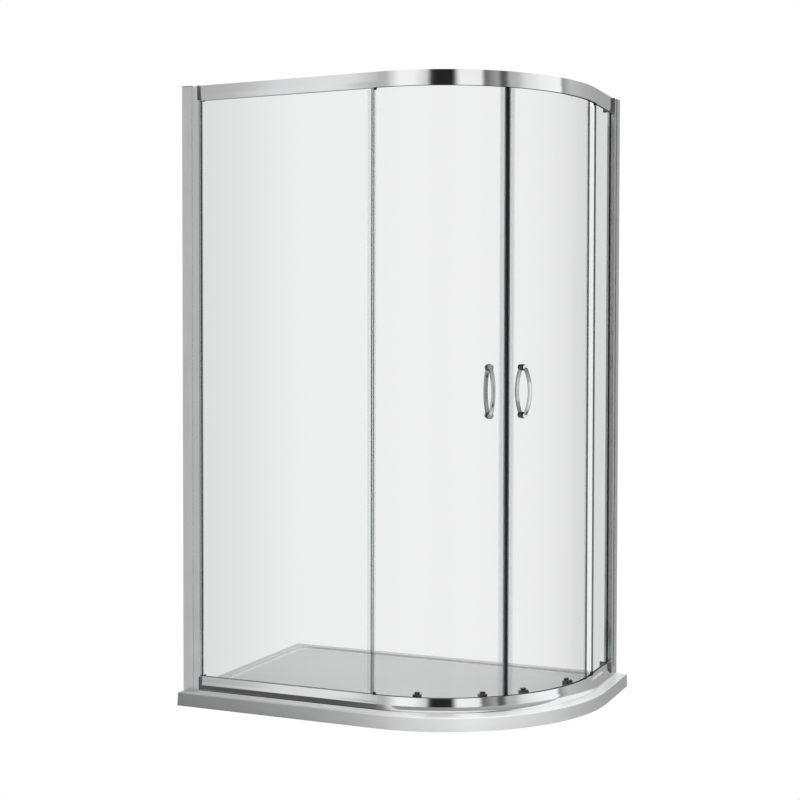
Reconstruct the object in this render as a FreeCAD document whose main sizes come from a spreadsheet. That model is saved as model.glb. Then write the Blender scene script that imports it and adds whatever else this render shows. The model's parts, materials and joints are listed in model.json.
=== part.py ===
import FreeCAD, Part
import math
import os
import re
import Sketcher

# Offset quadrant shower enclosure on a slim tray, in millimetres.
# Row frame: origin at the middle of the tray's underside, +X to the curved side,
# +Y to the long back wall, +Z up.  Most pieces are built in the corner frame,
# whose origin is the centre of the rounded corner; turned by 0 degrees its -Y
# looks out of the long front, turned by 90 degrees out of the short side.
# A depth is measured inwards from the outer face of the rails, and a run is
# measured from the end of the curve towards the wall.

DIMENSIONS = [
    ("tray_length", 1200), ("tray_width", 800), ("corner_radius", 550), ("tray_height", 40),
    ("tray_floor", 30), ("front_rim", 104), ("wall_rim", 28), ("basin_corner", 40),
    ("basin_fillet", 6), ("rim_fillet", 3), ("waste_radius", 45), ("waste_seat_radius", 57),
    ("waste_seat_depth", 4), ("waste_reach", 350), ("tray_taper", 2),
    ("enclosure_height", 1850), ("rail_inset", 45), ("top_rail_height", 44), ("bottom_rail_height", 45),
    ("top_straight", 26), ("rail_tuck", 1.9), ("slot_depth_in_rail", 18), ("shelf_drop", 22),
    ("shelf_thickness", 2), ("bottom_shelf_drop", 16), ("lip_height", 2.2), ("lip_thickness", 1.5),
    ("lip_depth", 30.2), ("web_thickness", 1.5), ("rail_plate", 2), ("foot_flare", 14),
    ("foot_height", 5.5), ("cove_rise", 28), ("cove_radius", 24), ("port_radius", 2.1), ("port_drop", 11),
    ("bottom_port_rise", 14),
    ("glass_thickness", 6), ("fixed_glass_depth", 4), ("glass_bite", 16), ("gasket", 1),
    ("gasket_proud", 1), ("free_edge_run", 16), ("fit_gap", 0.2), ("run_gap", 0.3),
    ("channel_length", 34), ("channel_depth", -9), ("channel_thickness", 28), ("channel_wall", 1.75),
    ("channel_cap", 2), ("post_reach", 57), ("post_back_gap", 10), ("post_wall", 1.5),
    ("post_slot", 13), ("post_play", 0.25), ("end_cap", 4), ("wall_hole_radius", 3),
    ("wall_hole_end", 150), ("side_screw_end", 260), ("side_screw_run", 24), ("side_screw_radius", 2),
    ("screw_head_radius", 4), ("screw_head", 2), ("screw_bite", 7), ("screw_cap_radius", 6.5),
    ("screw_cap_height", 4), ("screw_cap_wall", 1.2), ("rail_screw_bite", 12),
    ("retainer_length", 7.5), ("retainer_proud", 6), ("stop_wall_gap", 154.5), ("stop_length", 10),
    ("stop_width", 15), ("stop_height", 11),
    ("door_glass_depth", 28), ("door_glass_bottom", 71), ("edge_gap", 8), ("overlap", 18),
    ("handle_offset", 55), ("handle_height", 970), ("handle_pitch", 140), ("handle_hole", 6),
    ("boss_radius", 9), ("boss_length", 11), ("bow_width", 13), ("bow_thickness", 6),
    ("outer_projection", 33), ("inner_projection", 28), ("bow_foot", 6), ("stud_radius", 2.5),
    ("stud_bite", 8), ("washer_radius", 10), ("washer", 1),
    ("seal_gap", 0.15), ("magnet_width", 5), ("magnet_thickness", 9), ("carrier_width", 17.5),
    ("seal_wall", 1.6), ("rear_seal_width", 12), ("fin_width", 1.4), ("fin_inset", 4),
    ("inner_roller", 8.25), ("outer_roller", 32), ("wheel_depth", 22), ("wheel_radius", 9),
    ("wheel_width", 6), ("wheel_chamfer", 0.7), ("wheel_rim", 1.8), ("wheel_hub_radius", 4.6),
    ("wheel_recess", 1), ("axle_radius", 2.5), ("axle_play", 0.06), ("collar_radius", 3.4),
    ("collar_length", 0.8), ("clamp_width", 28), ("clamp_leg", 2.3), ("clamp_inner_leg", 4.9),
    ("clamp_drop", 9), ("clamp_bridge", 2.1), ("arm_width", 14), ("arm_thickness", 3),
    ("arm_rise", 5), ("axle_head_radius", 4.2), ("axle_head", 2),
    ("housing_width", 26), ("housing_thickness", 14.4), ("housing_bottom", 71), ("housing_height", 15),
    ("housing_wall", 4), ("slide_width", 14), ("slide_thickness", 7.2), ("slide_toe", 4),
    ("press_travel", 3.5), ("button_width", 16), ("button_height", 2.5), ("button_overhang", 1.2),
    ("window_width", 6.6), ("window_rise", 12), ("tongue", 2), ("spring_radius", 2.1),
    ("spring_wire", 0.35), ("spring_pitch", 1.8), ("knob_height", 80), ("knob_radius", 10),
    ("knob_length", 4.5), ("knob_shank", 3), ("knob_shoulder", 7.5), ("knob_shoulder_length", 1.5),
]

document = FreeCAD.newDocument("quadrant_enclosure")
sheet = document.addObject("Spreadsheet::Sheet", "Dimensions")
for row, (alias, size) in enumerate(DIMENSIONS, start=1):
    sheet.set(f"A{row}", alias)
    sheet.set(f"B{row}", str(size))
    sheet.setAlias(f"B{row}", alias)
document.recompute()

# Derived places, written as expressions of the sheet's cells.
RAIL = "(corner_radius - rail_inset)"
TOP = "(tray_height + enclosure_height)"
SLOT_OUT = "(fixed_glass_depth - gasket - fit_gap)"
SLOT_IN = "(fixed_glass_depth + glass_thickness + gasket + fit_gap)"
GLASS_IN = "(fixed_glass_depth + glass_thickness)"
WEB_IN = f"({SLOT_IN} + web_thickness)"
LIP_IN = "(lip_depth + lip_thickness)"
BASE_TOP = "(tray_height + bottom_rail_height)"
TOP_EDGE = f"({TOP} - top_rail_height)"
SHELF = f"({TOP} - shelf_drop)"
LOW_SHELF = f"({BASE_TOP} - bottom_shelf_drop - shelf_thickness)"
FIXED_BOTTOM = f"({BASE_TOP} - glass_bite)"
FIXED_TOP = f"({TOP_EDGE} + glass_bite)"
DOOR_TOP = FIXED_TOP
DOOR_OUT = f"({RAIL} - door_glass_depth)"
DOOR_IN_DEPTH = "(door_glass_depth + glass_thickness)"
TOP_WHEEL = f"({SHELF} + run_gap + wheel_radius)"
LOW_WHEEL = f"({LOW_SHELF} - run_gap - wheel_radius)"
PROFILE_OUT = "(channel_depth + channel_wall + post_play)"
PROFILE_IN = "(channel_depth + channel_thickness - channel_wall - post_play)"
HOUSING_OUT = f"({DOOR_IN_DEPTH} + 2 * fit_gap)"
SLIDE_OUT = f"({HOUSING_OUT} + housing_wall + run_gap)"
SLIDE_IN = f"({SLIDE_OUT} + slide_thickness)"
TONGUE_BOTTOM = "(housing_bottom + housing_wall)"
BOLT_HOLE = "(knob_shank + 1)"

# side name: (sign along the local X axis towards the wall, turn of the straight, wall run)
SIDES = {
    "left": ("-1", "0", "(tray_length - corner_radius)"),
    "right": ("1", "90", "(tray_width - corner_radius)"),
}
NODES = {}


def cells(text):
    """Return the expression with each alias written as a cell of the sheet."""
    def swap(match):
        word = match.group(0)
        return word if word == "pi" else "Dimensions." + word
    return re.sub(r"\b[a-z][a-z0-9_]*\b(?!\()", swap, text)


def size_of(text):
    """Return the number that an expression gives now."""
    return float(sheet.evalExpression(text))


def bind(item, **sizes):
    """Bind each named property of the item to an expression."""
    for name, text in sizes.items():
        item.setExpression(name, cells(text))
    return item


def place(item, turn="0", spot=("0", "0", "0"), roll="0", pitch="0"):
    """Place an item in the corner frame turned about the upright axis."""
    frame = ("create(<<placement>>; create(<<vector>>; %s; %s; 0); create(<<rotation>>; %s; 0; 0))"
             % (cells("tray_length / 2 - corner_radius"), cells("corner_radius - tray_width / 2"),
                cells(turn)))
    seat = ("create(<<placement>>; create(<<vector>>; %s; %s; %s); create(<<rotation>>; 0; %s; %s))"
            % (cells(spot[0]), cells(spot[1]), cells(spot[2]), pitch, roll))
    item.setExpression("Placement", frame + " * " + seat)
    return item


def depth(text):
    """Return the local Y of a depth behind the rails' outer face."""
    return f"({text} - {RAIL})"


def around(distance, radius=DOOR_OUT):
    """Return the angle, in degrees, of a distance measured round the door glass."""
    return f"(({distance}) / {radius} * 180 / pi)"


def door_turn(side, angle):
    """Return the turn of a frame an angle away from the doors' meeting line."""
    return f"(45 + {SIDES[side][0]} * ({angle}))"


def span(name, axis_sign, first, last):
    """Return the low end and the length of a stretch along the signed X axis."""
    low = first if axis_sign == "1" else f"-({last})"
    return f"({low})", f"(({last}) - ({first}))"


def node(item, label):
    """Keep an item as a sub-part under its own label."""
    item.Label = label
    NODES[label] = item
    return item


# --- solids from primitives -------------------------------------------------------------

def block(turn, across, deep, high):
    """A box between two local X, two depths and two heights."""
    item = document.addObject("Part::Box", "Block")
    bind(item, Length=f"({across[1]}) - ({across[0]})", Width=f"({deep[1]}) - ({deep[0]})",
         Height=f"({high[1]}) - ({high[0]})")
    return place(item, turn, (across[0], depth(deep[0]), high[0]))


def side_block(side, run, deep, high):
    """A box on a straight, between two runs, two depths and two heights."""
    sign, turn, _ = SIDES[side]
    across = run if sign == "1" else (f"-({run[1]})", f"-({run[0]})")
    return block(turn, across, deep, high)


def rod(turn, across, high, deep, radius):
    """A round bar that points out of the enclosure, between two depths."""
    item = document.addObject("Part::Cylinder", "Rod")
    bind(item, Radius=radius, Height=f"({deep[1]}) - ({deep[0]})")
    return place(item, turn, (across, depth(deep[1]), high), roll="90")


def run_rod(side, run, deep, high, radius):
    """A round bar along a straight, between two runs."""
    sign, turn, _ = SIDES[side]
    start = run[0] if sign == "1" else f"-({run[1]})"
    item = document.addObject("Part::Cylinder", "Rod")
    bind(item, Radius=radius, Height=f"({run[1]}) - ({run[0]})")
    return place(item, turn, (start, depth(deep), high), pitch="90")


def sector(side, first, last, reach, high):
    """A pie slice between two distances round the door from the meeting line."""
    low, high_end = (first, last) if side == "right" else (last, first)
    start = f"({door_turn(side, around(low))} - 90)"
    item = document.addObject("Part::Cylinder", "Sector")
    bind(item, Radius=f"{RAIL} - ({reach})", Height=f"({high[1]}) - ({high[0]})",
         Angle=around(f"({last}) - ({first})"))
    return place(item, start, ("0", "0", high[0]))


def curved_wall(side, first, last, deep, high):
    """A wall concentric with the door glass, between two depths."""
    outer = sector(side, first, last, deep[0], high)
    inner = document.addObject("Part::Cylinder", "Core")
    bind(inner, Radius=f"{RAIL} - ({deep[1]})", Height=f"({high[1]}) - ({high[0]})")
    place(inner, "0", ("0", "0", high[0]))
    return cut(outer, inner)


def join(*items):
    """One solid from overlapping ones."""
    item = document.addObject("Part::MultiFuse", "Joined")
    item.Shapes = list(items)
    item.Refine = True
    return item


def group(*items):
    """Separate solids kept together."""
    item = document.addObject("Part::Compound", "Group")
    item.Links = list(items)
    return item


def cut(base, *tools):
    """The base with the tools taken away."""
    item = document.addObject("Part::Cut", "Cut")
    item.Base = base
    item.Tool = tools[0] if len(tools) == 1 else group(*tools)
    return item


# --- solids from sketches ---------------------------------------------------------------

def new_body(name):
    return document.addObject("PartDesign::Body", name)


def origin_item(body, role):
    """Return one of a body's own planes or axes."""
    return next(item for item in body.Origin.OriginFeatures if item.Role == role)


def sketch_on(body, plane, lift=None):
    """A new sketch on one of the body's own planes, lifted off it along its normal."""
    sketch = body.newObject("Sketcher::SketchObject", "Sketch")
    sketch.AttachmentSupport = [(origin_item(body, plane), "")]
    sketch.MapMode = "FlatFace"
    if lift is not None:
        sketch.setExpression("AttachmentOffset.Base.z", cells(lift))
    return sketch


def fix(sketch, kind, *where_and_size):
    """Add a constraint whose size is an expression."""
    *where, text = where_and_size
    index = sketch.addConstraint(Sketcher.Constraint(kind, *where, size_of(text)))
    sketch.setExpression(f"Constraints[{index}]", cells(text))


def centre_of_arc(start, end, radius, side):
    """Centre of the short arc between two points, on the left of the way for side 1."""
    half = (end - start) / 2
    rise = math.sqrt(max(radius ** 2 - half.Length ** 2, 0))
    left = FreeCAD.Vector(-half.y, half.x, 0).normalize()
    return start + half + left * rise * side


def outline(sketch, corners):
    """Draw a closed outline: each corner is (u, v), or (u, v, radius, side) where the
    edge that leaves it is an arc whose centre is on the left for side 1."""
    points = [FreeCAD.Vector(size_of(corner[0]), size_of(corner[1]), 0) for corner in corners]
    ends = []
    for index, corner in enumerate(corners):
        start = points[index]
        end = points[(index + 1) % len(points)]
        if len(corner) == 2:
            edge = sketch.addGeometry(Part.LineSegment(start, end), False)
            ends.append((edge, 1, 2))
            continue
        radius = size_of(corner[2])
        centre = centre_of_arc(start, end, radius, corner[3])
        first, last = (start, end) if corner[3] == 1 else (end, start)
        angles = [math.atan2(point.y - centre.y, point.x - centre.x) for point in (first, last)]
        circle = Part.Circle(centre, FreeCAD.Vector(0, 0, 1), radius)
        edge = sketch.addGeometry(Part.ArcOfCircle(circle, *angles), False)
        ends.append((edge, 1, 2) if corner[3] == 1 else (edge, 2, 1))
    for index, (edge, head, _) in enumerate(ends):
        before, _, tail = ends[index - 1]
        sketch.addConstraint(Sketcher.Constraint("Coincident", before, tail, edge, head))
        fix(sketch, "DistanceX", -1, 1, edge, head, corners[index][0])
        fix(sketch, "DistanceY", -1, 1, edge, head, corners[index][1])
        if len(corners[index]) > 2:
            fix(sketch, "Radius", edge, corners[index][2])


def ring(sketch, across, up, radius):
    """Draw a circle."""
    spot = FreeCAD.Vector(size_of(across), size_of(up), 0)
    edge = sketch.addGeometry(Part.Circle(spot, FreeCAD.Vector(0, 0, 1), size_of(radius)), False)
    fix(sketch, "DistanceX", -1, 1, edge, 3, across)
    fix(sketch, "DistanceY", -1, 1, edge, 3, up)
    fix(sketch, "Radius", edge, radius)


def pad(body, sketch, length, side="One side", backwards=False):
    item = body.newObject("PartDesign::Pad", "Pad")
    item.Profile = (sketch, [""])
    item.SideType = side
    item.Reversed = backwards
    bind(item, Length=length)
    return item


def pocket(body, sketch, length, backwards=False):
    item = body.newObject("PartDesign::Pocket", "Pocket")
    item.Profile = (sketch, [""])
    item.Reversed = backwards
    bind(item, Length=length)
    return item


def revolve(body, sketch, axis, angle, both_ways=False):
    item = body.newObject("PartDesign::Revolution", "Revolution")
    item.Profile = (sketch, [""])
    item.ReferenceAxis = (axis, [""])
    item.Midplane = both_ways
    bind(item, Angle=angle)
    return item


def round_edges(body, radius, wanted):
    """Fillet the edges of the body's last feature that the test picks."""
    document.recompute()
    last = body.Tip
    names = [f"Edge{index}" for index, edge in enumerate(last.Shape.Edges, start=1) if wanted(edge)]
    item = body.newObject("PartDesign::Fillet", "Fillet")
    item.Base = (last, names)
    bind(item, Radius=radius)
    return item


def level_edge(edge, height):
    """True for an edge that lies flat at a height."""
    box = edge.BoundBox
    return abs(box.ZMin - height) < 0.01 and abs(box.ZMax - height) < 0.01


def upright(name, corners, low, high, turn, holes=()):
    """A straight extrusion standing between two heights."""
    body = new_body(name)
    sketch = sketch_on(body, "XY_Plane")
    outline(sketch, corners)
    for corners_of_hole in holes:
        outline(sketch, corners_of_hole)
    pad(body, sketch, f"({high}) - ({low})")
    return place(body, turn, ("0", "0", low))


# --- tray -------------------------------------------------------------------------------

def tray_outline(inset, corner=None):
    """Outline of the tray in the corner frame, drawn in by an inset on each side."""
    front, wall = inset
    left = f"({wall} - tray_length + corner_radius)"
    back = f"(tray_width - corner_radius - {wall})"
    reach = f"(corner_radius - {front})"
    if corner is None:
        return [(left, f"-{reach}"), ("0", f"-{reach}", reach, 1), (reach, "0"), (reach, back),
                (left, back)]
    return [(left, f"({corner} - {reach})", corner, 1), (f"({left} + {corner})", f"-{reach}"),
            ("0", f"-{reach}", reach, 1), (reach, "0"),
            (reach, f"({back} - {corner})", corner, 1), (f"({reach} - {corner})", back),
            (f"({left} + {corner})", back, corner, 1), (left, f"({back} - {corner})")]


def shower_tray():
    body = new_body("TrayBody")
    place(body)
    base = sketch_on(body, "XY_Plane")
    outline(base, tray_outline(("0", "0")))
    slab = pad(body, base, "tray_height")
    slab.TaperAngle = 0
    bind(slab, TaperAngle="-tray_taper")
    basin = sketch_on(body, "XY_Plane", "tray_height")
    outline(basin, tray_outline(("front_rim", "wall_rim"), "basin_corner"))
    pocket(body, basin, "tray_height - tray_floor")
    document.recompute()
    floor = size_of("tray_floor")
    rim = size_of("tray_height")
    round_edges(body, "basin_fillet", lambda edge: level_edge(edge, floor))
    round_edges(body, "rim_fillet", lambda edge: level_edge(edge, rim))
    seat = sketch_on(body, "XY_Plane", "tray_floor")
    spot = ("waste_reach * cos(45)", "-waste_reach * sin(45)")
    ring(seat, *spot, "waste_seat_radius")
    pocket(body, seat, "waste_seat_depth")
    hole = sketch_on(body, "XY_Plane", "tray_floor")
    ring(hole, *spot, "waste_radius")
    pocket(body, hole, "tray_floor + 1")
    return node(body, "shower_tray")


# --- posts at the walls -----------------------------------------------------------------

def wall_channel(side):
    sign, turn, wall = SIDES[side]
    back = f"{sign} * {wall}"
    front = f"{sign} * ({wall} - channel_length)"
    inner = f"{sign} * ({wall} - channel_wall)"
    out = depth("channel_depth")
    out_face = depth("channel_depth + channel_wall")
    in_face = depth("channel_depth + channel_thickness - channel_wall")
    into = depth("channel_depth + channel_thickness")
    shell = upright("Channel", [(back, out), (front, out), (front, out_face), (inner, out_face),
                                (inner, in_face), (front, in_face), (front, into), (back, into)],
                    "tray_height", f"{TOP} - channel_cap", turn)
    middle = "channel_depth + channel_thickness / 2"
    holes = [run_rod(side, (f"{wall} - 2 * channel_wall", f"{wall} + 1"), middle, height,
                     "wall_hole_radius") for height in wall_hole_heights()]
    holes += [rod(turn, f"{sign} * ({wall} - side_screw_run)", height,
                  ("channel_depth + channel_thickness - 2 * channel_wall",
                   "channel_depth + channel_thickness + 1"), "side_screw_radius + fit_gap")
              for height in side_screw_heights()]
    return node(cut(shell, *holes), f"{side}_wall_channel")


def wall_hole_heights():
    pitch = "(enclosure_height - 2 * wall_hole_end) / 3"
    return [f"(tray_height + wall_hole_end + {index} * {pitch})" for index in range(4)]


def side_screw_heights():
    pitch = "(enclosure_height - 2 * side_screw_end) / 2"
    return [f"(tray_height + side_screw_end + {index} * {pitch})" for index in range(3)]


def rail_screw_places():
    return [("bottom_port_rise + tray_height"), (f"{TOP} - port_drop")]


PORT_DEPTH = f"(({SLOT_OUT} + {SLOT_IN}) / 2)"


def adjusting_profile(side):
    sign, turn, wall = SIDES[side]
    back = f"({wall} - post_back_gap)"
    front = f"({wall} - post_reach)"
    slot = f"({front} + post_slot)"
    out = depth(PROFILE_OUT)
    into = depth(PROFILE_IN)
    outer = [(f"{sign} * {back}", out), (f"{sign} * {front}", out),
             (f"{sign} * {front}", depth(SLOT_OUT)), (f"{sign} * {slot}", depth(SLOT_OUT)),
             (f"{sign} * {slot}", depth(SLOT_IN)), (f"{sign} * {front}", depth(SLOT_IN)),
             (f"{sign} * {front}", into), (f"{sign} * {back}", into)]
    cell_back = f"{sign} * ({back} - post_wall)"
    cell_front = f"{sign} * ({slot} + post_wall)"
    cell = [(cell_back, depth(f"{PROFILE_OUT} + post_wall")),
            (cell_front, depth(f"{PROFILE_OUT} + post_wall")),
            (cell_front, depth(f"{PROFILE_IN} - post_wall")),
            (cell_back, depth(f"{PROFILE_IN} - post_wall"))]
    shell = upright("Post", outer, "tray_height", f"{TOP} - channel_cap - fit_gap", turn, [cell])
    notch = (f"{front} - 1", f"{front} + end_cap + fit_gap")
    wide = (f"{PROFILE_OUT} - 1", f"{PROFILE_IN} + 1")
    tools = [side_block(side, notch, wide, ("tray_height - 1", f"{BASE_TOP} + fit_gap")),
             side_block(side, notch, wide, (f"{TOP_EDGE} - fit_gap", f"{TOP} + 1"))]
    tools += [run_rod(side, (f"{slot} - 1", f"{slot} + post_wall + 1"), PORT_DEPTH, height,
                      "side_screw_radius + fit_gap") for height in rail_screw_places()]
    tools += [rod(turn, f"{sign} * ({wall} - side_screw_run)", height,
                  (f"{PROFILE_IN} - post_wall - 1", f"{PROFILE_IN} + 1"),
                  "side_screw_radius + fit_gap / 2") for height in side_screw_heights()]
    return node(cut(shell, *tools), f"{side}_adjusting_profile")


def channel_caps():
    caps = [side_block(side, (f"{SIDES[side][2]} - channel_length", SIDES[side][2]),
                       ("channel_depth", "channel_depth + channel_thickness"),
                       (f"{TOP} - channel_cap", TOP)) for side in SIDES]
    return node(group(*caps), "channel_top_caps")


def side_screws():
    screws = []
    caps = []
    face = "(channel_depth + channel_thickness)"
    for side, (sign, turn, wall) in SIDES.items():
        across = f"{sign} * ({wall} - side_screw_run)"
        for height in side_screw_heights():
            shank = rod(turn, across, height, (f"{face} - screw_bite", f"{face} + screw_head / 2"),
                        "side_screw_radius")
            head = rod(turn, across, height, (face, f"{face} + screw_head"), "screw_head_radius")
            screws.append(join(shank, head))
            shell = rod(turn, across, height, (face, f"{face} + screw_cap_height"),
                        "screw_cap_radius")
            hollow = rod(turn, across, height,
                         (f"{face} - 1", f"{face} + screw_cap_height - screw_cap_wall"),
                         "screw_cap_radius - screw_cap_wall")
            caps.append(cut(shell, hollow))
    node(group(*screws), "profile_side_screws")
    node(group(*caps), "side_screw_caps")


# --- rails ------------------------------------------------------------------------------

def top_section():
    tuck_radius = "((top_rail_height - top_straight)^2 + rail_tuck^2) / (2 * rail_tuck)"
    under = f"({SHELF} - shelf_thickness)"
    return [("0", TOP), ("0", f"{TOP} - top_straight", tuck_radius, 1), ("rail_tuck", TOP_EDGE),
            (SLOT_OUT, TOP_EDGE), (SLOT_OUT, under), (SLOT_IN, under), (SLOT_IN, TOP_EDGE),
            (WEB_IN, TOP_EDGE), (WEB_IN, under), (LIP_IN, under),
            (LIP_IN, f"{SHELF} + lip_height"), ("lip_depth", f"{SHELF} + lip_height"),
            ("lip_depth", SHELF), (WEB_IN, SHELF), (WEB_IN, f"{TOP} - rail_plate"),
            (LIP_IN, f"{TOP} - rail_plate"), (LIP_IN, TOP)]


def bottom_section():
    slot_floor = f"({BASE_TOP} - slot_depth_in_rail)"
    upper = f"({LOW_SHELF} + shelf_thickness)"
    return [("-foot_flare", "tray_height"),
            ("-foot_flare", "tray_height + foot_height", "cove_radius", 1),
            ("0", "tray_height + cove_rise"), ("0", BASE_TOP), (SLOT_OUT, BASE_TOP),
            (SLOT_OUT, slot_floor), (SLOT_IN, slot_floor), (SLOT_IN, BASE_TOP),
            (WEB_IN, BASE_TOP), (WEB_IN, upper), (LIP_IN, upper),
            (LIP_IN, f"{LOW_SHELF} - lip_height"), ("lip_depth", f"{LOW_SHELF} - lip_height"),
            ("lip_depth", LOW_SHELF), (WEB_IN, LOW_SHELF),
            (WEB_IN, "tray_height + rail_plate"), (LIP_IN, "tray_height + rail_plate"),
            (LIP_IN, "tray_height")]


def rail(section, port_height, label):
    """One extrusion bent round the corner, with a straight at each end."""
    body = new_body("Rail")
    place(body)
    front = sketch_on(body, "YZ_Plane")
    outline(front, [(depth(corner[0]), *corner[1:]) for corner in section])
    ring(front, depth(PORT_DEPTH), port_height, "port_radius")
    pad(body, front, "tray_length - corner_radius - post_reach", backwards=True)
    revolve(body, front, origin_item(body, "Z_Axis"), "90")
    flank = sketch_on(body, "XZ_Plane")
    mirrored = [(f"-{depth(corner[0])}", *corner[1:3], *[-side for side in corner[3:]])
                for corner in section]
    outline(flank, mirrored)
    ring(flank, f"-{depth(PORT_DEPTH)}", port_height, "port_radius")
    pad(body, flank, "tray_width - corner_radius - post_reach", backwards=True)
    return node(body, label)


def rail_end_caps():
    heights = {"bottom": ("tray_height", BASE_TOP), "top": (TOP_EDGE, TOP)}
    glass = {"bottom": (f"{FIXED_BOTTOM} - fit_gap", f"{BASE_TOP} + 1"),
             "top": (f"{TOP_EDGE} - 1", f"{FIXED_TOP} + fit_gap")}
    ports = dict(zip(("bottom", "top"), rail_screw_places()))
    for level, high in heights.items():
        caps = []
        for side, (_, _, wall) in SIDES.items():
            front = f"({wall} - post_reach)"
            cap = side_block(side, (front, f"{front} + end_cap"), (PROFILE_OUT, LIP_IN), high)
            slit = side_block(side, (f"{front} - 1", f"{front} + end_cap + 1"),
                              (f"fixed_glass_depth - fit_gap", f"{GLASS_IN} + fit_gap"),
                              glass[level])
            hole = run_rod(side, (f"{front} - 1", f"{front} + end_cap + 1"), PORT_DEPTH,
                           ports[level], "side_screw_radius + fit_gap")
            caps.append(cut(cap, slit, hole))
        node(group(*caps), f"{level}_rail_end_caps")


def rail_screws():
    screws = []
    for side, (_, _, wall) in SIDES.items():
        seat = f"({wall} - post_reach + post_slot + post_wall)"
        tip = f"({wall} - post_reach - rail_screw_bite)"
        for height in rail_screw_places():
            shank = run_rod(side, (tip, f"{seat} + screw_head / 2"), PORT_DEPTH, height,
                            "side_screw_radius")
            head = run_rod(side, (seat, f"{seat} + screw_head"), PORT_DEPTH, height,
                           "screw_head_radius")
            screws.append(join(shank, head))
    return node(group(*screws), "rail_fixing_screws")


def rail_stops():
    """Buffers in the running channels, where each door's outer wheels end their travel."""
    wide = (WEB_IN, f"{WEB_IN} + stop_width")
    start = "(tray_width - corner_radius - stop_wall_gap)"
    run = (start, f"({start} + stop_length)")
    stops = []
    for side in SIDES:
        stops.append(side_block(side, run, wide, (f"{LOW_SHELF} - stop_height", LOW_SHELF)))
        stops.append(side_block(side, run, wide, (SHELF, f"{SHELF} + stop_height")))
    return node(group(*stops), "rail_stop_buffers")


# --- fixed glass ------------------------------------------------------------------------

def fixed_glass(side):
    _, _, wall = SIDES[side]
    front = f"({wall} - post_reach)"
    deep = ("fixed_glass_depth", GLASS_IN)
    end = f"({front} + post_slot - gasket - 2 * fit_gap)"
    pane = side_block(side, ("free_edge_run", end), deep, (FIXED_BOTTOM, FIXED_TOP))
    node(pane, f"{side}_fixed_glass")
    around_pane = ("fixed_glass_depth - gasket", f"{GLASS_IN} + gasket")
    low = side_block(side, ("free_edge_run", f"{front} - fit_gap"), around_pane,
                     (f"{FIXED_BOTTOM} - gasket", f"{BASE_TOP} + gasket_proud"))
    high = side_block(side, ("free_edge_run", f"{front} - fit_gap"), around_pane,
                      (f"{TOP_EDGE} - gasket_proud", f"{FIXED_TOP} + gasket"))
    post = side_block(side, (f"{front} - gasket_proud", f"{end} + gasket"), around_pane,
                      (f"{BASE_TOP} + gasket_proud + fit_gap", f"{TOP_EDGE} - gasket_proud - fit_gap"))
    strips = [cut(strip, side_block(side, ("free_edge_run - 1", end), deep, (FIXED_BOTTOM, FIXED_TOP)))
              for strip in (low, high, post)]
    node(group(*strips), f"{side}_glazing_gaskets")


def glass_retainers():
    """Dark blocks in the rails' glass slots, at the free edge of each fixed pane."""
    deep = (f"{SLOT_OUT} + fit_gap", f"{SLOT_IN} - fit_gap")
    run = ("free_edge_run - fit_gap - retainer_length", "free_edge_run - fit_gap")
    blocks = []
    for side in SIDES:
        blocks.append(side_block(side, run, deep, (f"{BASE_TOP} - slot_depth_in_rail",
                                                   f"{BASE_TOP} + retainer_proud")))
        blocks.append(side_block(side, run, deep, (f"{TOP_EDGE} - retainer_proud",
                                                   f"{SHELF} - shelf_thickness")))
    return node(group(*blocks), "glass_retainers")


# --- doors ------------------------------------------------------------------------------

DOOR_HEIGHTS = ("door_glass_bottom", DOOR_TOP)
DOOR_EDGE = f"((45 * pi / 180) * {DOOR_OUT} + free_edge_run + overlap)"
FIN_TIP = (f"({RAIL} - ({RAIL} - {GLASS_IN} - run_gap)"
           f" / cos({around(DOOR_EDGE + ' + seal_wall')} - 45))")
HANDLE_HEIGHTS = ("handle_height - handle_pitch / 2", "handle_height + handle_pitch / 2")
DOOR_DEPTHS = ("door_glass_depth", DOOR_IN_DEPTH)
ROLLERS = ("inner_roller", "outer_roller")


def door_glass(side):
    pane = curved_wall(side, "edge_gap", DOOR_EDGE, DOOR_DEPTHS, DOOR_HEIGHTS)
    through = ("door_glass_depth - 2", f"{DOOR_IN_DEPTH} + 2")
    handle_turn = door_turn(side, around("handle_offset"))
    holes = [rod(handle_turn, "0", height, through, "handle_hole") for height in HANDLE_HEIGHTS]
    holes += [rod(door_turn(side, angle), "0", "knob_height", through, BOLT_HOLE)
              for angle in ROLLERS]
    return node(cut(pane, *holes), f"{side}_door_glass")


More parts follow.
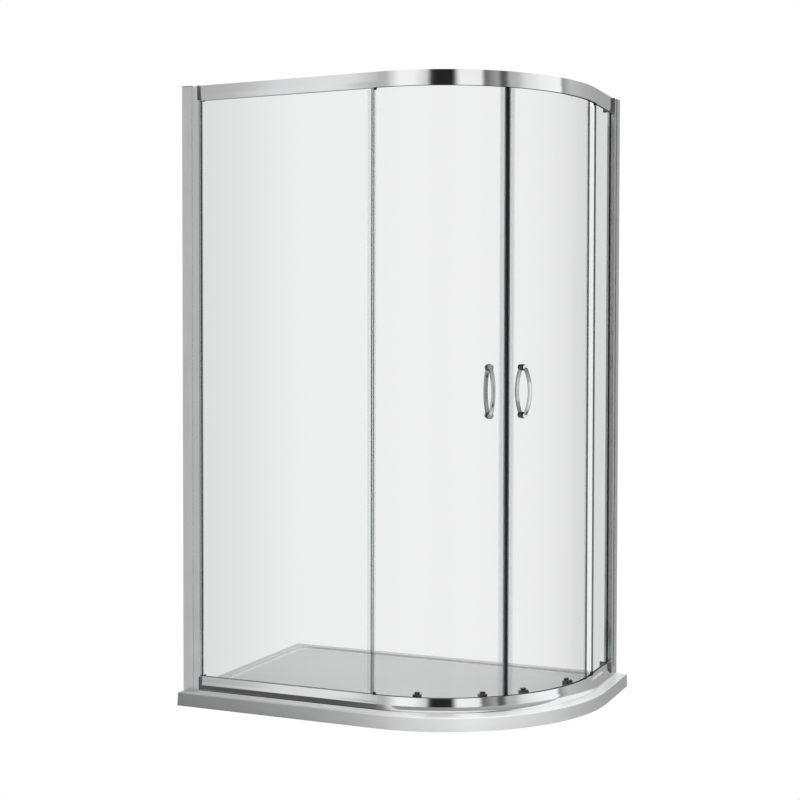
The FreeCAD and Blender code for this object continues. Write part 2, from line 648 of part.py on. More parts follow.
def door_seals(side):
    heights = DOOR_HEIGHTS
    middle = "(door_glass_depth + glass_thickness / 2)"
    magnet_end = "(seal_gap + magnet_width)"
    magnet = curved_wall(side, "seal_gap", magnet_end,
                         (f"{middle} - magnet_thickness / 2", f"{middle} + magnet_thickness / 2"),
                         heights)
    node(magnet, f"{side}_magnet_strip")
    outer = ("door_glass_depth - seal_wall", f"{DOOR_IN_DEPTH} + seal_wall")
    loose = ("door_glass_depth - seal_gap", f"{DOOR_IN_DEPTH} + seal_gap")
    past = ("door_glass_bottom - 1", f"{DOOR_TOP} + 1")
    carrier_end = f"({magnet_end} + carrier_width)"
    carrier = curved_wall(side, magnet_end, carrier_end, outer, heights)
    slot = curved_wall(side, "edge_gap - seal_gap", f"{carrier_end} + 1", loose, past)
    node(cut(carrier, slot), f"{side}_magnetic_seal")
    clip = curved_wall(side, f"{DOOR_EDGE} - rear_seal_width", f"{DOOR_EDGE} + seal_wall", outer,
                       heights)
    groove = curved_wall(side, f"{DOOR_EDGE} - rear_seal_width - 1", f"{DOOR_EDGE} + seal_gap",
                         loose, past)
    fin = curved_wall(side, f"{DOOR_EDGE} + seal_wall - fin_width", f"{DOOR_EDGE} + seal_wall",
                      (FIN_TIP, "door_glass_depth - seal_wall / 2"),
                      (f"{BASE_TOP} + fin_inset", f"{TOP_EDGE} - fin_inset"))
    node(join(cut(clip, groove), fin), f"{side}_rear_seal")


def bow_handle(side, outwards):
    """A flat bar bent to an arc between two round bosses."""
    turn = door_turn(side, around("handle_offset"))
    sign = "-1" if outwards else "1"
    face = f"{DOOR_OUT} + seal_gap + washer" if outwards else (
        f"{DOOR_OUT} - glass_thickness - seal_gap - washer")
    reach = "outer_projection" if outwards else "inner_projection"
    rise = f"({reach} - bow_foot)"
    radius = f"((handle_pitch^2 / 4 + {rise}^2) / (2 * {rise}))"
    crown = f"-({face} - {sign} * {reach})"
    body = new_body("Bow")
    place(body, turn, ("0", f"{crown} - {sign} * {radius}", "handle_height"))
    sketch = sketch_on(body, "XY_Plane")
    half = "(bow_width / 2 - bow_thickness / 2)"
    low = f"({sign} * {radius} - bow_thickness / 2)"
    high = f"({sign} * {radius} + bow_thickness / 2)"
    outline(sketch, [(f"-{half}", low), (half, low, "bow_thickness / 2 + 0.001", 1), (half, high),
                     (f"-{half}", high, "bow_thickness / 2 + 0.001", 1)])
    revolve(body, sketch, origin_item(body, "X_Axis"),
            f"2 * asin(handle_pitch / 2 / {radius})", both_ways=True)
    bosses = []
    holes = []
    for height in HANDLE_HEIGHTS:
        start = f"({RAIL} - ({face}))"
        if outwards:
            bosses.append(rod(turn, "0", height, (f"{start} - boss_length", start), "boss_radius"))
            holes.append(rod(turn, "0", height, (f"{start} - stud_bite - fit_gap", f"{start} + 1"),
                             "stud_radius + fit_gap / 2"))
        else:
            bosses.append(rod(turn, "0", height, (start, f"{start} + boss_length"), "boss_radius"))
            holes.append(rod(turn, "0", height, (f"{start} - 1", f"{start} + stud_bite + fit_gap"),
                             "stud_radius + fit_gap / 2"))
    label = f"{side}_{'outer' if outwards else 'inner'}_handle"
    return node(cut(join(body, *bosses), *holes), label)


def handle_fixings(side):
    """Studs through the glass, with a clear washer on each face of it."""
    turn = door_turn(side, around("handle_offset"))
    outer_face = "(door_glass_depth - seal_gap)"
    inner_face = f"({DOOR_IN_DEPTH} + seal_gap)"
    pieces = []
    for height in HANDLE_HEIGHTS:
        pieces.append(rod(turn, "0", height, (f"{outer_face} - washer - stud_bite",
                                              f"{inner_face} + washer + stud_bite"), "stud_radius"))
        for deep in ((f"{outer_face} - washer", outer_face), (inner_face, f"{inner_face} + washer")):
            disc = rod(turn, "0", height, deep, "washer_radius")
            hole = rod(turn, "0", height, (f"{deep[0]} - 1", f"{deep[1]} + 1"),
                       "stud_radius + fit_gap")
            pieces.append(cut(disc, hole))
    return node(group(*pieces), f"{side}_handle_fixings")


# --- rollers ----------------------------------------------------------------------------

def wheel(side, angle, height, label):
    body = new_body("Wheel")
    place(body, door_turn(side, angle), ("0", depth("wheel_depth"), height))
    sketch = sketch_on(body, "YZ_Plane")
    half = "wheel_width / 2"
    bore = "axle_radius + axle_play"
    rim = "wheel_radius - wheel_rim"
    side_walls = [("wheel_recess", rim), ("0", rim), ("0", "wheel_radius - wheel_chamfer")]
    profile = [(f"-({half})", bore), (half, bore), (half, "wheel_hub_radius"),
               (f"{half} - wheel_recess", "wheel_hub_radius"), (f"{half} - wheel_recess", rim),
               (half, rim), (half, "wheel_radius - wheel_chamfer"),
               (f"{half} - wheel_chamfer", "wheel_radius"),
               (f"wheel_chamfer - {half}", "wheel_radius"),
               (f"-({half})", "wheel_radius - wheel_chamfer"), (f"-({half})", rim),
               (f"wheel_recess - {half}", rim), (f"wheel_recess - {half}", "wheel_hub_radius"),
               (f"-({half})", "wheel_hub_radius")]
    outline(sketch, profile)
    revolve(body, sketch, origin_item(body, "Y_Axis"), "360")
    return node(body, label)


def top_hanger(side, angle):
    """A clamp over the glass edge, with an arm that carries the wheel's pin."""
    turn = door_turn(side, angle)
    body = new_body("Hanger")
    place(body, turn)
    outer = "(door_glass_depth - 2 * fit_gap)"
    inner = f"({DOOR_IN_DEPTH} + 3 * fit_gap)"
    cap = f"({DOOR_TOP} + 2 * fit_gap)"
    foot = f"({DOOR_TOP} - clamp_drop)"
    saddle = sketch_on(body, "YZ_Plane")
    corners = [(f"{outer} - clamp_leg", foot), (outer, foot), (outer, cap), (inner, cap),
               (inner, foot), (f"{inner} + clamp_inner_leg", foot),
               (f"{inner} + clamp_inner_leg", f"{cap} + clamp_bridge"),
               (f"{outer} - clamp_leg", f"{cap} + clamp_bridge")]
    outline(saddle, [(depth(deep), high) for deep, high in corners])
    pad(body, saddle, "clamp_width", side="Symmetric")
    arm = sketch_on(body, "YZ_Plane")
    back = f"({inner} + clamp_inner_leg)"
    corners = [(f"{back} - arm_thickness", foot), (back, foot), (back, f"{TOP_WHEEL} + arm_rise"),
               (f"{back} - arm_thickness", f"{TOP_WHEEL} + arm_rise")]
    outline(arm, [(depth(deep), high) for deep, high in corners])
    pad(body, arm, "arm_width", side="Symmetric")
    hole = rod(turn, "0", TOP_WHEEL, (f"{back} - arm_thickness - 1", f"{back} + 1"),
               "axle_radius + axle_play")
    pin_tip = "(wheel_depth - wheel_width / 2 - run_gap)"
    shaft = rod(turn, "0", TOP_WHEEL, (f"{pin_tip} - collar_length", f"{back} + axle_head"),
                "axle_radius")
    collar = rod(turn, "0", TOP_WHEEL, (f"{pin_tip} - collar_length", pin_tip), "collar_radius")
    spacer = rod(turn, "0", TOP_WHEEL, ("wheel_depth + wheel_width / 2 + run_gap",
                                        f"{back} - arm_thickness"), "collar_radius")
    head = rod(turn, "0", TOP_WHEEL, (back, f"{back} + axle_head"), "axle_head_radius")
    return cut(body, hole), join(shaft, collar, spacer, head)


def release_slide(side, angle, label):
    """The sprung slide of a bottom roller: button above, stub axle below."""
    turn = door_turn(side, angle)
    deep = (SLIDE_OUT, SLIDE_IN)
    half = "slide_width / 2"
    housing_top = "(housing_bottom + housing_height)"
    button_low = f"({housing_top} + press_travel + run_gap)"
    stem = block(turn, (f"-{half}", half), deep, (f"{LOW_WHEEL} - slide_toe", f"{button_low} + 1"))
    button = block(turn, ("-button_width / 2", "button_width / 2"),
                   (f"{SLIDE_OUT} - button_overhang", f"{SLIDE_IN} + button_overhang"),
                   (button_low, f"{button_low} + button_height"))
    tip = "(wheel_depth - wheel_width / 2 - run_gap)"
    axle = rod(turn, "0", LOW_WHEEL, (f"{tip} - collar_length", f"{SLIDE_OUT} + 1"), "axle_radius")
    collar = rod(turn, "0", LOW_WHEEL, (f"{tip} - collar_length", tip), "collar_radius")
    shoulder = rod(turn, "0", LOW_WHEEL, ("wheel_depth + wheel_width / 2 + run_gap",
                                          f"{SLIDE_OUT} + 1"), "collar_radius")
    window = block(turn, ("-window_width / 2", "window_width / 2"),
                   (f"{SLIDE_OUT} - 1", f"{SLIDE_IN} + 1"),
                   (f"{TONGUE_BOTTOM} - run_gap", f"{TONGUE_BOTTOM} + window_rise"))
    return node(cut(join(stem, button, axle, collar, shoulder), window), label)


def roller_housing(side, angle):
    """The block behind the glass that guides the slide and backs its spring."""
    turn = door_turn(side, angle)
    top = "(housing_bottom + housing_height)"
    shell = block(turn, ("-housing_width / 2", "housing_width / 2"),
                  (HOUSING_OUT, f"{HOUSING_OUT} + housing_thickness"), ("housing_bottom", top))
    way = block(turn, ("-slide_width / 2 - run_gap", "slide_width / 2 + run_gap"),
                (f"{SLIDE_OUT} - run_gap", f"{SLIDE_IN} + run_gap"),
                ("housing_bottom - 1", f"{top} + 1"))
    bolt = rod(turn, "0", "knob_height", (f"{HOUSING_OUT} - 1", f"{SLIDE_OUT} - run_gap + 1"),
               "knob_shank + fit_gap / 2")
    tongue = block(turn, ("run_gap - window_width / 2", "window_width / 2 - run_gap"),
                   (f"{SLIDE_OUT} - run_gap - 1", f"{SLIDE_IN} + run_gap + 1"),
                   (TONGUE_BOTTOM, f"{TONGUE_BOTTOM} + tongue"))
    return join(cut(shell, way, bolt), tongue)


def roller_knob(side, angle):
    """The dark screw knob outside the glass that holds a roller housing."""
    turn = door_turn(side, angle)
    face = "(door_glass_depth - fit_gap)"
    cap = rod(turn, "0", "knob_height", (f"{face} - knob_length", f"{face} - knob_shoulder_length"),
              "knob_shoulder")
    rim = rod(turn, "0", "knob_height", (f"{face} - knob_shoulder_length - 1", face), "knob_radius")
    shank = rod(turn, "0", "knob_height", (f"{face} - 1", f"{SLIDE_OUT} - 2 * run_gap"),
                "knob_shank")
    return join(cap, rim, shank)


def release_spring(side, angle, label):
    """The coil that lifts a slide, standing on the housing's tongue."""
    turn = door_turn(side, angle)
    low = f"({TONGUE_BOTTOM} + tongue + spring_wire + run_gap)"
    length = f"(window_rise - tongue - 2 * spring_wire - 2 * run_gap)"
    body = new_body("Spring")
    place(body, turn, ("0", depth(f"({SLIDE_OUT} + {SLIDE_IN}) / 2"), low))
    sketch = sketch_on(body, "XZ_Plane")
    ring(sketch, "spring_radius", "0", "spring_wire")
    coil = body.newObject("PartDesign::AdditiveHelix", "Coil")
    coil.Profile = (sketch, [""])
    coil.ReferenceAxis = (origin_item(body, "Z_Axis"), [""])
    coil.Mode = 0
    bind(coil, Pitch="spring_pitch", Height=length)
    return node(body, label)


def door(side):
    door_glass(side)
    door_seals(side)
    bow_handle(side, True)
    bow_handle(side, False)
    handle_fixings(side)
    hangers = [top_hanger(side, angle) for angle in ROLLERS]
    node(group(*[clamp for clamp, _ in hangers]), f"{side}_top_hangers")
    node(group(*[pin for _, pin in hangers]), f"{side}_top_axles")
    node(group(*[roller_housing(side, angle) for angle in ROLLERS]), f"{side}_roller_housings")
    node(group(*[roller_knob(side, angle) for angle in ROLLERS]), f"{side}_roller_knobs")
    for angle in ROLLERS:
        place_name = angle.split("_")[0]
        wheel(side, angle, TOP_WHEEL, f"{side}_top_{place_name}_wheel")
        wheel(side, angle, LOW_WHEEL, f"{side}_bottom_{place_name}_wheel")
        release_slide(side, angle, f"{side}_{place_name}_release_slide")
        release_spring(side, angle, f"{side}_{place_name}_release_spring")


# --- the whole enclosure ----------------------------------------------------------------

def build():
    shower_tray()
    for side in SIDES:
        wall_channel(side)
        adjusting_profile(side)
        fixed_glass(side)
    channel_caps()
    side_screws()
    rail(top_section(), f"{TOP} - port_drop", "top_rail")
    rail(bottom_section(), "tray_height + bottom_port_rise", "bottom_rail")
    rail_end_caps()
    rail_screws()
    rail_stops()
    glass_retainers()
    for side in SIDES:
        door(side)
    document.recompute()


def check():
    """Stop where the document holds a failed object or a sub-part is not sound."""
    for item in document.Objects:
        if "Invalid" in item.State or "Error" in item.State:
            raise RuntimeError(f"{item.Name} ({item.Label}) failed")
    for label, item in NODES.items():
        if item.Shape.isNull() or not item.Shape.isValid():
            raise RuntimeError(f"{label} has no sound shape")


def export():
    os.makedirs("parts", exist_ok=True)
    for label, item in NODES.items():
        item.Shape.exportStep(f"parts/{label}.step")
        box = item.Shape.BoundBox
        print(label, len(item.Shape.Solids), round(item.Shape.Volume),
              [round(value, 1) for value in (box.XMin, box.XMax, box.YMin, box.YMax, box.ZMin, box.ZMax)])


build()
check()
export()
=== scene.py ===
import bpy
import json
import math
from mathutils import Matrix, Vector


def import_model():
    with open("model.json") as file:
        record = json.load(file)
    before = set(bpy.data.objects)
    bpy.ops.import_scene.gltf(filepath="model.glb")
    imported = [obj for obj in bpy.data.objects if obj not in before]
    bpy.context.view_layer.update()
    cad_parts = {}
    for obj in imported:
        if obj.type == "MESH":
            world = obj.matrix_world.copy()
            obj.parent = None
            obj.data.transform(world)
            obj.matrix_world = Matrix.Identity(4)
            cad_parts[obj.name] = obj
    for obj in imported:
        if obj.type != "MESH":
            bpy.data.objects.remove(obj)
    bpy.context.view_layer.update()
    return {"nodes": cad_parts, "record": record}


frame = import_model()
NODES = frame["nodes"]

# Centre of the rounded corner in the plan, in metres.
CORNER = (0.050, 0.150)

# Stretch of a noise pattern, which draws it out into lines along a piece.
EVEN = (1, 1, 1)
ALONG_Z = (1, 1, 0.02)
ALONG_RAIL = (0.15, 0.15, 1)

COAT_ROUGHNESS = 0.06
PLASTIC_IOR = 1.5
GRAIN_DEPTH = 0.00004
TRAY_GRAIN_DEPTH = 0.00003

# Share of the light that passes one face of a pane seen squarely, and the least seen aslant.
PANE_FACE = 0.934
PANE_LEAST = 0.848
PANE_IOR = 1.45
PANE_SHINE = 0.3
PANE_EDGE = (0.10, 0.22, 0.20, 1)
# The long fixed pane gets a painted shade: what it lets through darkens between these places along X,
# down to this share.
SHADE_FROM, SHADE_TO, SHADE_SHARE = -0.62, -0.14, 0.915

# The magnets' black ends between these distances from the meeting plane, times root two.
MAGNET_BLACK, MAGNET_PALE = 0.0052, 0.0062

FLOOR_REACH = 25
FLOOR_DROP = 0.0005
FLOOR_GREY = (0.40, 0.40, 0.40, 1)

# Azimuth from -Y toward +X in degrees, and the brightness of the studio there.
STUDIO = [(-180, 0.60), (-50, 0.60), (-31.2, 0.46), (-29.8, 0.47), (-28, 0.76), (-25, 0.84),
          (-24.2, 0.46), (-18, 0.50), (-9, 0.97), (2, 0.97), (11, 0.66), (13.5, 0.08), (16, 0.02),
          (29, 0.02), (33, 0.94), (48, 0.92), (51, 0.14), (60, 0.38), (63, 0.10), (66, 0.12),
          (69, 0.46), (75, 0.50), (81, 0.78), (95, 0.94), (112, 1.0), (114.5, 0.30), (118, 0.42),
          (124, 0.54), (145, 0.44), (180, 0.36)]
# Share of +X in a direction that looks well up, and the brightness of the ceiling there.
CEILING = [(-1, 0.09), (-0.42, 0.09), (-0.34, 0.22), (-0.26, 0.70), (-0.20, 0.30), (0.20, 0.30),
           (1, 0.50)]
CEILING_BEHIND = (0.95, 0.95, 0.95)
CEILING_OVERHEAD = (0.90, 0.90, 0.90)
SOFT_COLOUR = (0.97, 0.985, 1.0, 1)
SOFT_STRENGTH = 0.16

# The camera's place in metres, its angles in degrees, and its lens in pixels of the picture.
CAMERA_PLACE = (1.7623, -4.1760, 1.1075)
YAW, PITCH, ROLL = -23.25, 1.72, 0.108
PICTURE_SIDE = 800
FOCAL_PIXELS = 1447.8
SHIFT_PIXELS = -12.6
SENSOR = 36


# --- node helpers ---------------------------------------------------------------------

class Tree:
    """A small builder of the nodes of one material, or of the world."""

    def __init__(self, name, world=None):
        self.material = world or bpy.data.materials.new(name)
        self.material.use_nodes = True
        self.tree = self.material.node_tree
        self.tree.nodes.clear()
        kind = "ShaderNodeOutputWorld" if world else "ShaderNodeOutputMaterial"
        self.out = self.tree.nodes.new(kind)

    def node(self, kind, **settings):
        node = self.tree.nodes.new(kind)
        for key, value in settings.items():
            setattr(node, key, value)
        return node

    def link(self, source, target):
        self.tree.links.new(source, target)

    def feed(self, socket, value):
        """Link an output to the socket, or set the socket itself to a constant."""
        if hasattr(value, "is_output"):
            self.link(value, socket)
        else:
            socket.default_value = value

    def math(self, operation, first, second=0.0, third=0.0):
        node = self.node("ShaderNodeMath", operation=operation)
        for socket, value in zip(node.inputs, (first, second, third)):
            self.feed(socket, value)
        return node.outputs[0]

    def ramp(self, value, low, high, first=0.0, last=1.0, smooth=True):
        """Run from the first result to the last one while the value goes from low to high."""
        kind = "SMOOTHSTEP" if smooth else "LINEAR"
        node = self.node("ShaderNodeMapRange", interpolation_type=kind)
        self.link(value, node.inputs["Value"])
        node.inputs["From Min"].default_value = low
        node.inputs["From Max"].default_value = high
        node.inputs["To Min"].default_value = first
        node.inputs["To Max"].default_value = last
        return node.outputs["Result"]

    def spread(self, noise, first, last):
        """Stretch the middle of a noise over a range."""
        return self.ramp(noise, 0.3, 0.7, first, last, smooth=False)

    def position(self):
        """The X, Y and Z of the point in the shared frame, while its piece is at rest."""
        coords = self.node("ShaderNodeTexCoord")
        return self.split(coords.outputs["Object"])

    def split(self, vector):
        node = self.node("ShaderNodeSeparateXYZ")
        self.link(vector, node.inputs[0])
        return node.outputs["X"], node.outputs["Y"], node.outputs["Z"]

    def noise(self, scale, stretch=EVEN, detail=3.0, rough=0.5):
        coords = self.node("ShaderNodeTexCoord")
        mapping = self.node("ShaderNodeMapping")
        mapping.inputs["Scale"].default_value = stretch
        self.link(coords.outputs["Object"], mapping.inputs["Vector"])
        node = self.node("ShaderNodeTexNoise")
        node.inputs["Scale"].default_value = scale
        node.inputs["Detail"].default_value = detail
        node.inputs["Roughness"].default_value = rough
        self.link(mapping.outputs["Vector"], node.inputs["Vector"])
        return node.outputs["Fac"]

    def tint(self, share, dark, light):
        """A colour between two others, each one an output or three numbers."""
        node = self.node("ShaderNodeMix", data_type="RGBA")
        self.link(share, node.inputs["Factor"])
        for socket, colour in (("A", dark), ("B", light)):
            self.feed(node.inputs[socket], colour if hasattr(colour, "is_output") else (*colour, 1))
        return node.outputs["Result"]

    def cloudy(self, cloud, dark, light):
        return self.tint(self.spread(cloud, 0.0, 1.0), dark, light)

    def bump(self, value, strength, distance):
        node = self.node("ShaderNodeBump")
        node.inputs["Strength"].default_value = strength
        node.inputs["Distance"].default_value = distance
        self.link(value, node.inputs["Height"])
        return node.outputs["Normal"]

    def slant(self):
        """0 where the surface is seen squarely, and 1 where it is seen edge on."""
        weight = self.node("ShaderNodeLayerWeight")
        weight.inputs["Blend"].default_value = 0.5
        return weight.outputs["Facing"]

    def looked_at(self):
        """1 for the rays that look straight at something, through glass or not."""
        path = self.node("ShaderNodeLightPath")
        return self.math("MAXIMUM", path.outputs["Is Camera Ray"], path.outputs["Is Transmission Ray"])

    def surface(self, colour, rough, metallic=0.0, coat=0.0, normal=None):
        shader = self.node("ShaderNodeBsdfPrincipled")
        self.feed(shader.inputs["Base Color"], colour)
        self.feed(shader.inputs["Roughness"], rough)
        shader.inputs["Metallic"].default_value = metallic
        shader.inputs["Coat Weight"].default_value = coat
        shader.inputs["Coat Roughness"].default_value = COAT_ROUGHNESS
        shader.inputs["IOR"].default_value = PLASTIC_IOR
        if normal is not None:
            self.link(normal, shader.inputs["Normal"])
        return shader.outputs[0]

    def mix(self, share, first, second):
        node = self.node("ShaderNodeMixShader")
        self.feed(node.inputs[0], share)
        self.link(first, node.inputs[1])
        self.link(second, node.inputs[2])
        return node.outputs[0]

    def finish(self, shader):
        self.link(shader, self.out.inputs["Surface"])
        return self.material


# --- materials ------------------------------------------------------------------------

def metal(name, dark, light, rough, stretch, bump=0.04):
    """Drawn or polished metal with faint lines along its length."""
    tree = Tree(name)
    lines = tree.noise(260, stretch, 4.0, 0.6)
    colour = tree.cloudy(tree.noise(9, detail=2.0), dark, light)
    roughness = tree.spread(lines, rough * 0.8, rough * 1.25)
    normal = tree.bump(lines, bump, GRAIN_DEPTH)
    return tree.finish(tree.surface(colour, roughness, 1.0, normal=normal))


def plastic(name, dark, light, rough, coat=0.0):
    """Moulded plastic or rubber with a fine grain and faint cloudiness."""
    tree = Tree(name)
    cloud = tree.noise(35)
    colour = tree.cloudy(cloud, dark, light)
    roughness = tree.spread(cloud, rough * 0.85, rough * 1.15)
    normal = tree.bump(tree.noise(900, detail=2.0), 0.25, GRAIN_DEPTH)
    return tree.finish(tree.surface(colour, roughness, coat=coat, normal=normal))


def tray_material():
    """White acrylic over a stone resin core: gloss, very slightly uneven."""
    tree = Tree("tray_white_acrylic")
    cloud = tree.noise(2.5)
    colour = tree.cloudy(cloud, (0.795, 0.812, 0.806), (0.825, 0.838, 0.833))
    roughness = tree.spread(cloud, 0.20, 0.27)
    normal = tree.bump(tree.noise(140, detail=2.0), 0.10, TRAY_GRAIN_DEPTH)
    return tree.finish(tree.surface(colour, roughness, coat=0.35, normal=normal))


def on_face(tree):
    """1 on the wide faces of a flat or curved pane, and 0 on its cut edges."""
    x, y, _ = tree.position()
    radial = tree.node("ShaderNodeCombineXYZ")
    across = tree.math("MAXIMUM", tree.math("SUBTRACT", x, CORNER[0]), 0.0)
    outward = tree.math("MINIMUM", tree.math("SUBTRACT", y, CORNER[1]), 0.0)
    tree.link(across, radial.inputs["X"])
    tree.link(outward, radial.inputs["Y"])
    unit = tree.node("ShaderNodeVectorMath", operation="NORMALIZE")
    tree.link(radial.outputs[0], unit.inputs[0])
    square_on = tree.node("ShaderNodeVectorMath", operation="DOT_PRODUCT")
    tree.link(unit.outputs["Vector"], square_on.inputs[0])
    tree.link(tree.node("ShaderNodeTexCoord").outputs["Normal"], square_on.inputs[1])
    either_side = tree.math("ABSOLUTE", square_on.outputs["Value"])
    return tree.ramp(either_side, 0.35, 0.75, smooth=False)


def passed_light(tree):
    """Share of the light that a pane's face lets through, less aslant, and darkened near the post by a
    painted shade.
    """
    square_on = tree.math("MAXIMUM", tree.math("SUBTRACT", 1.0, tree.slant()), 0.05)
    passed = tree.math("POWER", PANE_FACE, tree.math("DIVIDE", 1.0, square_on))
    # painted shade: the pane is darkened along X towards the post, down to SHADE_SHARE
    shade = tree.ramp(tree.position()[0], SHADE_FROM, SHADE_TO, SHADE_SHARE, 1.0)
    return tree.math("MULTIPLY", tree.math("MAXIMUM", passed, PANE_LEAST), shade)


def glass_material(name, clear):
    """Clear float glass: nearly colourless through its faces, green at its cut edges."""
    tree = Tree(name)
    through = tree.node("ShaderNodeBsdfTransparent")
    tree.link(tree.tint(passed_light(tree), (0.0, 0.0, 0.0), clear), through.inputs["Color"])
    gloss = tree.node("ShaderNodeBsdfGlossy")
    gloss.inputs["Color"].default_value = (0.97, 0.98, 0.98, 1)
    gloss.inputs["Roughness"].default_value = 0.01
    fresnel = tree.node("ShaderNodeFresnel")
    fresnel.inputs["IOR"].default_value = PANE_IOR
    behind = tree.node("ShaderNodeNewGeometry").outputs["Backfacing"]
    shine = tree.math("SUBTRACT", PANE_SHINE, tree.math("MULTIPLY", behind, PANE_SHINE))
    mirror = tree.math("MULTIPLY", fresnel.outputs[0], shine)
    face = tree.mix(mirror, through.outputs[0], gloss.outputs[0])
    edge = tree.math("MULTIPLY", tree.math("SUBTRACT", 1.0, on_face(tree)), 0.92)
    return tree.finish(tree.mix(edge, face, tree.surface(PANE_EDGE, 0.22)))


def milky(tree, colour, share):
    """The shader of translucent vinyl: part of what is behind it shows through."""
    lit = tree.cloudy(tree.noise(60, (1, 1, 0.05)), tuple(v * 0.93 for v in colour), colour)
    through = tree.node("ShaderNodeBsdfTransparent")
    through.inputs["Color"].default_value = (0.965, 0.975, 0.975, 1)
    return tree.mix(share, through.outputs[0], tree.surface(lit, 0.25))


def seal_material():
    tree = Tree("seal_clear_vinyl")
    return tree.finish(milky(tree, (0.74, 0.76, 0.77), 0.07))


def magnet_material():
    """A black magnet strip along the plane where the doors meet, in a pale vinyl carrier."""
    tree = Tree("magnet_black_vinyl")
    x, y, _ = tree.position()
    total = tree.math("SUBTRACT", tree.math("ADD", x, y), sum(CORNER))
    away = tree.ramp(tree.math("ABSOLUTE", total), MAGNET_BLACK, MAGNET_PALE)
    black = tree.surface((0.005, 0.005, 0.005, 1), 0.7)
    return tree.finish(tree.mix(away, black, milky(tree, (0.86, 0.88, 0.88), 0.10)))


def chrome_material():
    """Chrome plate on thin round bars, with a painted reflection: bright along the middle and nearly
    black towards the sides.
    """
    tree = Tree("handle_chrome_plate")
    bright = tree.cloudy(tree.noise(120), (0.88, 0.89, 0.90), (0.96, 0.97, 0.98))
    # painted reflection: the colour fades to nearly black where the bar is seen edge on
    colour = tree.tint(tree.ramp(tree.slant(), 0.14, 0.46), bright, (0.05, 0.052, 0.055))
    return tree.finish(tree.surface(colour, 0.05, 1.0))


MATERIALS = {
    "tray": tray_material(),
    "profile_metal": metal("profile_polished_aluminium", (0.82, 0.83, 0.84),
                           (0.86, 0.87, 0.88), 0.16, ALONG_Z),
    "rail_metal": metal("rail_polished_aluminium", (0.88, 0.885, 0.89),
                        (0.91, 0.915, 0.92), 0.05, ALONG_RAIL),
    "glass": glass_material("fixed_pane_glass", (0.996, 1.0, 0.999)),
    "door": glass_material("door_pane_glass", (0.998, 1.0, 1.0)),
    "gasket": metal("gasket_silver_vinyl", (0.76, 0.77, 0.78), (0.82, 0.83, 0.84), 0.35, ALONG_Z),
    "dark_plastic": plastic("grey_moulded_plastic", (0.15, 0.15, 0.155), (0.19, 0.19, 0.195), 0.45),
    "buffer_rubber": plastic("buffer_black_rubber", (0.02, 0.02, 0.02), (0.04, 0.04, 0.04), 0.7),
    "screw_cap": plastic("screw_cap_satin_plastic", (0.56, 0.57, 0.58), (0.62, 0.63, 0.64), 0.35),
    "steel": metal("turned_steel", (0.52, 0.53, 0.54), (0.62, 0.63, 0.64), 0.28, EVEN),
    "handle_chrome": chrome_material(),
    "magnet": magnet_material(),
    "clear_seal": seal_material(),
    "hanger_metal": metal("hanger_chrome_plate", (0.78, 0.79, 0.80),
                          (0.84, 0.85, 0.86), 0.10, EVEN, 0.01),
    "housing_plastic": plastic("housing_grey_plastic", (0.13, 0.135, 0.14),
                               (0.17, 0.175, 0.18), 0.3, coat=0.2),
    "dark_knob": plastic("knob_dark_plastic", (0.030, 0.031, 0.034),
                         (0.05, 0.051, 0.055), 0.28, coat=0.3),
    "wheel_plastic": plastic("wheel_white_nylon", (0.74, 0.74, 0.72), (0.80, 0.80, 0.78), 0.4),
}

OWN_LOOK = {"glass_retainers": "buffer_rubber"}
SLOT_OF = {part["node"]: part["material_slot"] for part in frame["record"]["subparts"]}
for name, item in NODES.items():
    key = OWN_LOOK.get(name, "door" if name.endswith("door_glass") else SLOT_OF[name])
    item.data.materials.clear()
    item.data.materials.append(MATERIALS[key])


# --- floor, world, lights, camera -----------------------------------------------------

def add_object(name, data):
    item = bpy.data.objects.new(name, data)
    bpy.context.scene.collection.objects.link(item)
    return item


def floor():
    """A floor that looks white and reflects a little light, as a sheet of paper does."""
    mesh = bpy.data.meshes.new("floor")
    corners = [(x * FLOOR_REACH, y * FLOOR_REACH, 0) for x, y in ((-1, -1), (1, -1), (1, 1), (-1, 1))]
    mesh.from_pydata(corners, [], [(0, 1, 2, 3)])
    item = add_object("floor", mesh)
    item.location.z = -FLOOR_DROP
    tree = Tree("floor_pale")
    diffuse = tree.node("ShaderNodeBsdfDiffuse")
    diffuse.inputs["Color"].default_value = FLOOR_GREY
    white = tree.node("ShaderNodeEmission")
    white.inputs["Strength"].default_value = 1.0
    shader = tree.mix(tree.looked_at(), diffuse.outputs[0], white.outputs[0])
    item.data.materials.append(tree.finish(shader))
    item.visible_glossy = False


def brightness(tree, value, stops, low, high):
    """The brightness that the stops give at the value, which runs from low to high."""
    ramp = tree.node("ShaderNodeValToRGB")
    tree.link(tree.math("MULTIPLY_ADD", value, 1 / (high - low), third=0.5), ramp.inputs[0])
    elements = ramp.color_ramp.elements
    for index, (at, level) in enumerate(stops):
        place = (at - low) / (high - low)
        element = elements[index] if index < 2 else elements.new(place)
        element.position = place
        element.color = (level, level, level * 1.005, 1)
    return ramp.outputs[0]


def studio_reflection(tree):
    """What shiny metal mirrors: a ring of light and dark panels under a ceiling."""
    coords = tree.node("ShaderNodeTexCoord")
    across, back, up = tree.split(coords.outputs["Generated"])
    turn = tree.math("ARCTAN2", across, tree.math("MULTIPLY", back, -1.0))
    degrees = tree.math("MULTIPLY", turn, 180 / math.pi)
    ring = brightness(tree, degrees, STUDIO, -180, 180)
    ceiling = brightness(tree, across, CEILING, -1, 1)
    behind = tree.math("MULTIPLY", tree.ramp(back, 0.36, 0.44), tree.ramp(across, -0.35, -0.25))
    ceiling = tree.tint(behind, ceiling, CEILING_BEHIND)
    ceiling = tree.tint(tree.ramp(up, 0.92, 0.975), ceiling, CEILING_OVERHEAD)
    return tree.tint(tree.ramp(up, 0.30, 0.45), ring, ceiling)


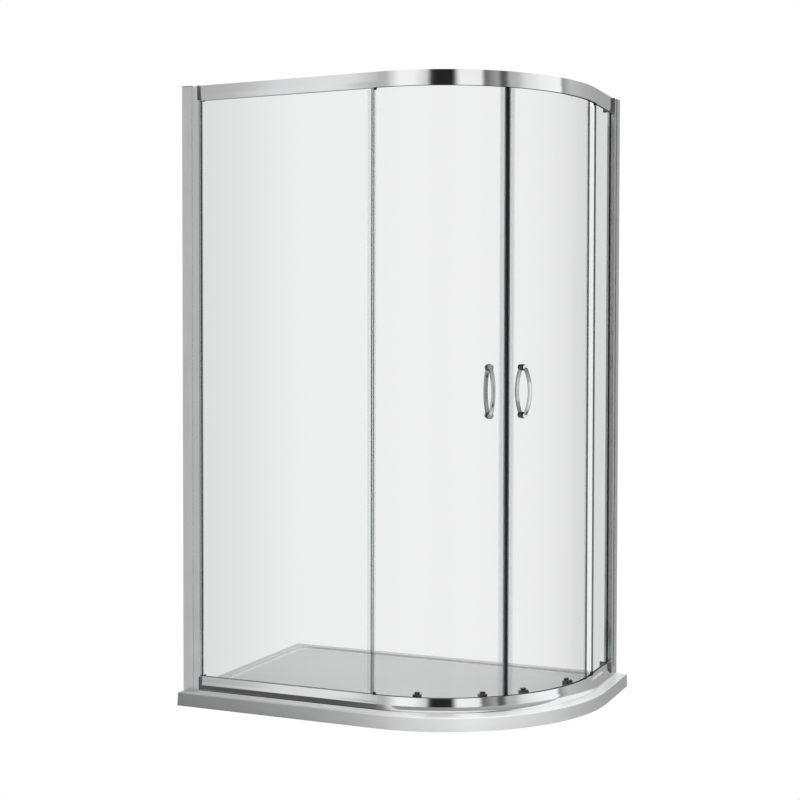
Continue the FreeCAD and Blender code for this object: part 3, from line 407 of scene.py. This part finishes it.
def world():
    """White where it is looked at, the studio in mirrors, and a soft fill for the rest."""
    scene_world = bpy.data.worlds.new("studio")
    bpy.context.scene.world = scene_world
    tree = Tree("studio", scene_world)
    soft = tree.node("ShaderNodeBackground")
    soft.inputs["Color"].default_value = SOFT_COLOUR
    soft.inputs["Strength"].default_value = SOFT_STRENGTH
    shown = tree.node("ShaderNodeBackground")
    shown.inputs["Color"].default_value = (1, 1, 1, 1)
    mirrored = tree.node("ShaderNodeBackground")
    tree.link(studio_reflection(tree), mirrored.inputs["Color"])
    glossy = tree.node("ShaderNodeLightPath").outputs["Is Glossy Ray"]
    direct = tree.mix(tree.looked_at(), soft.outputs[0], shown.outputs[0])
    tree.finish(tree.mix(glossy, direct, mirrored.outputs[0]))


def softbox(name, azimuth, distance, height, size, power, aim):
    """An area lamp at an azimuth from -Y toward +X, turned to a point of the object."""
    lamp = bpy.data.lights.new(name, "AREA")
    lamp.shape = "RECTANGLE"
    lamp.size, lamp.size_y = size
    lamp.energy = power
    item = add_object(name, lamp)
    angle = math.radians(azimuth)
    item.location = (distance * math.sin(angle), -distance * math.cos(angle), height)
    item.rotation_euler = (Vector(aim) - item.location).to_track_quat("-Z", "Y").to_euler()
    item.visible_glossy = False


def camera():
    lens = bpy.data.cameras.new("camera")
    lens.sensor_width = SENSOR
    lens.lens = FOCAL_PIXELS * SENSOR / PICTURE_SIDE
    lens.shift_y = SHIFT_PIXELS / PICTURE_SIDE
    lens.clip_end = 100
    item = add_object("camera", lens)
    yaw, pitch, roll = math.radians(YAW), math.radians(PITCH), math.radians(ROLL)
    level_part = math.cos(pitch)
    ahead = Vector((math.sin(yaw) * level_part, math.cos(yaw) * level_part, -math.sin(pitch)))
    level = Vector((math.cos(yaw), -math.sin(yaw), 0))
    side = Matrix.Rotation(-roll, 3, ahead) @ level
    up = side.cross(ahead)
    turn = Matrix((side, up, -ahead)).transposed().to_4x4()
    item.matrix_world = Matrix.Translation(CAMERA_PLACE) @ turn
    bpy.context.scene.camera = item


floor()
world()
softbox("top", 115, 1.0, 3.7, (1.8, 1.8), 130, aim=(0.1, -0.05, 0.9))
softbox("corner", 36, 1.04, 0.36, (0.30, 0.20), 3.1, aim=(0.24, -0.28, 0.05))
camera()
bpy.context.scene.view_settings.view_transform = "Standard"
